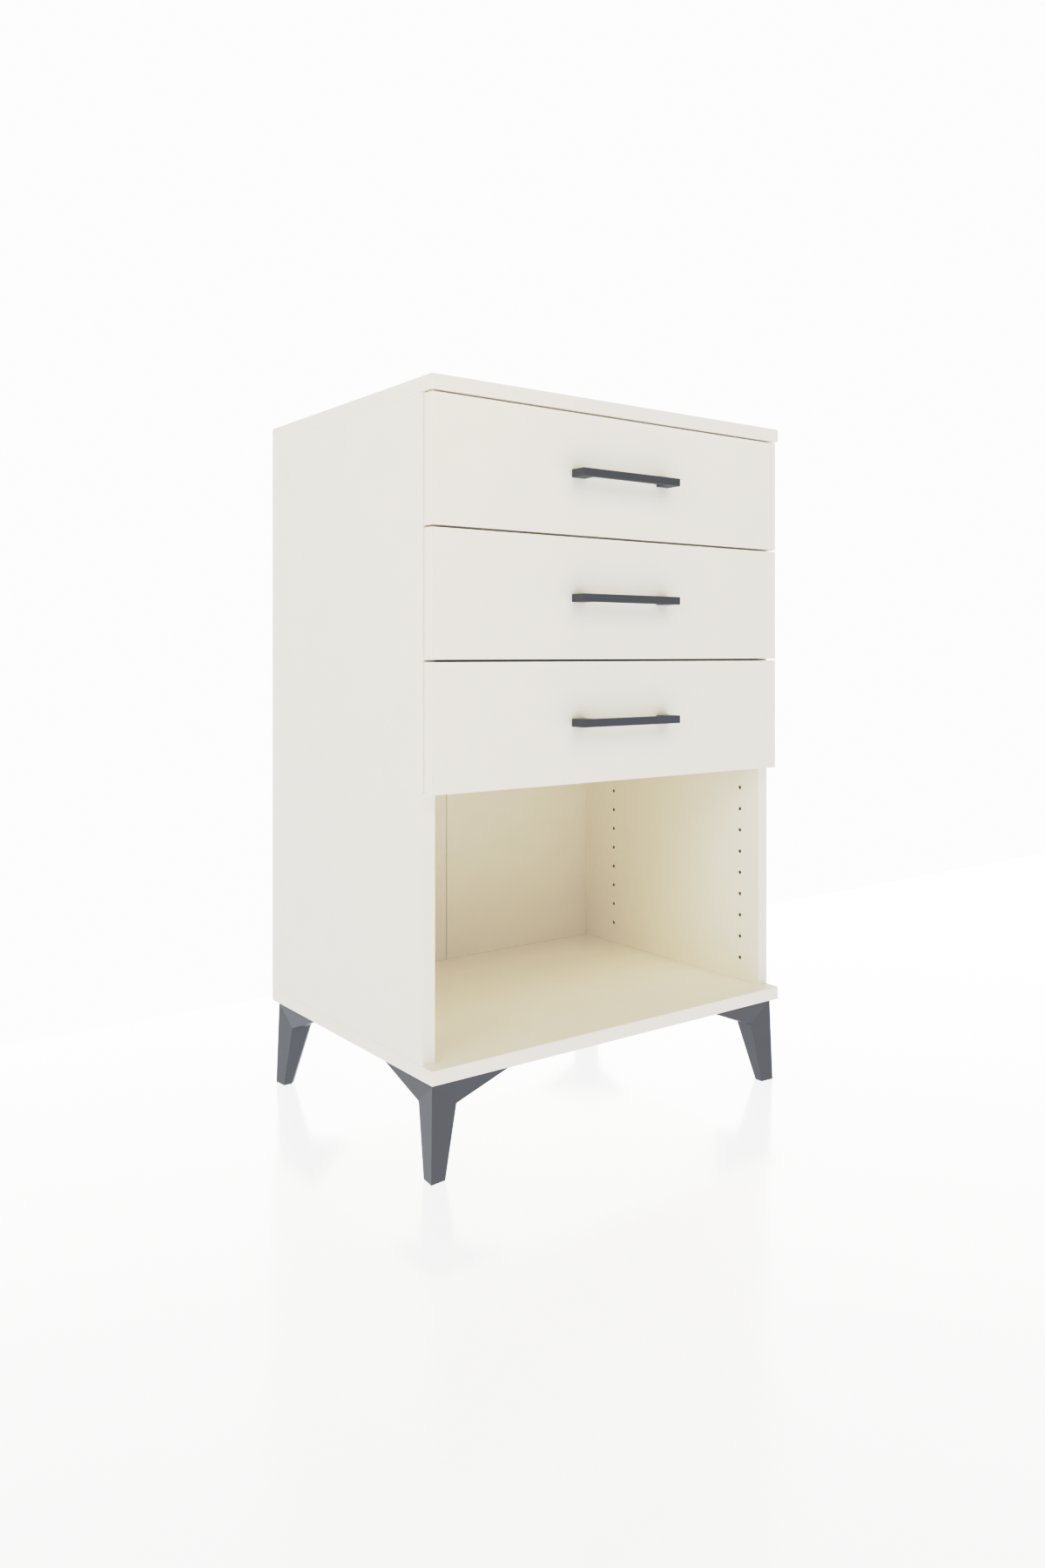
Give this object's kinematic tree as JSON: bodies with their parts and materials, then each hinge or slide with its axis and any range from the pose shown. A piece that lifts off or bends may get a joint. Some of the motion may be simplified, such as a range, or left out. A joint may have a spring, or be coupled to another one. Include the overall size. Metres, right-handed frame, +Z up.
{
  "type": "nightstand with drawers",
  "caption": "Tall chipboard nightstand on corner legs: stacked pull-out drawers on ball-bearing runners over an open compartment with shelf pin holes.",
  "frame": {"origin": "on the floor, in the middle of the top panel's width and of the overall depth, handles included; the left-hand feet reach 3 mm further out than the top panel", "axes": "+X to the right as seen from the front, +Y from the drawer fronts to the back, +Z up; the drawers pull out along -Y"},
  "size_m": [0.603, 0.463, 0.954],
  "materials": {
    "cream_board": "warm white melamine on chipboard, satin, with matching edge banding",
    "hardboard": "thin fibreboard with a smooth painted white face",
    "beech": "bare turned beech with fine flutes",
    "leg_plastic": "anthracite moulded plastic, satin",
    "handle_metal": "anthracite powder coat, satin",
    "runner_steel": "zinc plated rolled steel",
    "screw_steel": "zinc plated",
    "cam_zinc": "die-cast zinc alloy"
  },
  "bodies": {
    "carcass": {"top_panel": "cream_board", "bottom_panel": "cream_board", "left_side_panel": "cream_board", "right_side_panel": "cream_board", "divider_shelf": "cream_board", "back_panel_left": "cream_board", "back_panel_right": "cream_board", "leg_front_left": "leg_plastic", "leg_front_right": "leg_plastic", "leg_back_left": "leg_plastic", "leg_back_right": "leg_plastic", "leg_screws": "screw_steel", "joint_screws": "screw_steel", "dowels": "beech", "cam_bolts": "screw_steel", "cam_locks": "cam_zinc", "carcass_runner_screws": "screw_steel", "runner_1_left_outer": "runner_steel", "runner_1_right_outer": "runner_steel", "runner_2_left_outer": "runner_steel", "runner_2_right_outer": "runner_steel", "runner_3_left_outer": "runner_steel", "runner_3_right_outer": "runner_steel"},
    "drawer_1": {"drawer_1_front": "cream_board", "drawer_1_left_side": "cream_board", "drawer_1_right_side": "cream_board", "drawer_1_back": "cream_board", "drawer_1_base": "hardboard", "drawer_1_handle": "handle_metal", "drawer_1_handle_screws": "screw_steel", "drawer_1_runner_screws": "screw_steel", "runner_1_left_inner": "runner_steel", "runner_1_right_inner": "runner_steel"},
    "runner_1_middles": {"runner_1_left_middle": "runner_steel", "runner_1_right_middle": "runner_steel"},
    "drawer_2": {"drawer_2_front": "cream_board", "drawer_2_left_side": "cream_board", "drawer_2_right_side": "cream_board", "drawer_2_back": "cream_board", "drawer_2_base": "hardboard", "drawer_2_handle": "handle_metal", "drawer_2_handle_screws": "screw_steel", "drawer_2_runner_screws": "screw_steel", "runner_2_left_inner": "runner_steel", "runner_2_right_inner": "runner_steel"},
    "runner_2_middles": {"runner_2_left_middle": "runner_steel", "runner_2_right_middle": "runner_steel"},
    "drawer_3": {"drawer_3_front": "cream_board", "drawer_3_left_side": "cream_board", "drawer_3_right_side": "cream_board", "drawer_3_back": "cream_board", "drawer_3_base": "hardboard", "drawer_3_handle": "handle_metal", "drawer_3_handle_screws": "screw_steel", "drawer_3_runner_screws": "screw_steel", "runner_3_left_inner": "runner_steel", "runner_3_right_inner": "runner_steel"},
    "runner_3_middles": {"runner_3_left_middle": "runner_steel", "runner_3_right_middle": "runner_steel"}
  },
  "joints": [
    {"name": "drawer_1_slide", "type": "slide", "parent": "carcass", "child": "drawer_1", "axis": [0, -1, 0], "range_m": [0, 0.35]},
    {"name": "runner_1_middle_slide", "type": "slide", "parent": "carcass", "child": "runner_1_middles", "axis": [0, -1, 0], "range_m": [0, 0.175]},
    {"name": "drawer_2_slide", "type": "slide", "parent": "carcass", "child": "drawer_2", "axis": [0, -1, 0], "range_m": [0, 0.35]},
    {"name": "runner_2_middle_slide", "type": "slide", "parent": "carcass", "child": "runner_2_middles", "axis": [0, -1, 0], "range_m": [0, 0.175]},
    {"name": "drawer_3_slide", "type": "slide", "parent": "carcass", "child": "drawer_3", "axis": [0, -1, 0], "range_m": [0, 0.35]},
    {"name": "runner_3_middle_slide", "type": "slide", "parent": "carcass", "child": "runner_3_middles", "axis": [0, -1, 0], "range_m": [0, 0.175]}
  ],
  "couplings": [
    {"joint": "runner_1_middle_slide", "follows": "drawer_1_slide", "ratio": 0.5},
    {"joint": "runner_2_middle_slide", "follows": "drawer_2_slide", "ratio": 0.5},
    {"joint": "runner_3_middle_slide", "follows": "drawer_3_slide", "ratio": 0.5}
  ]
}
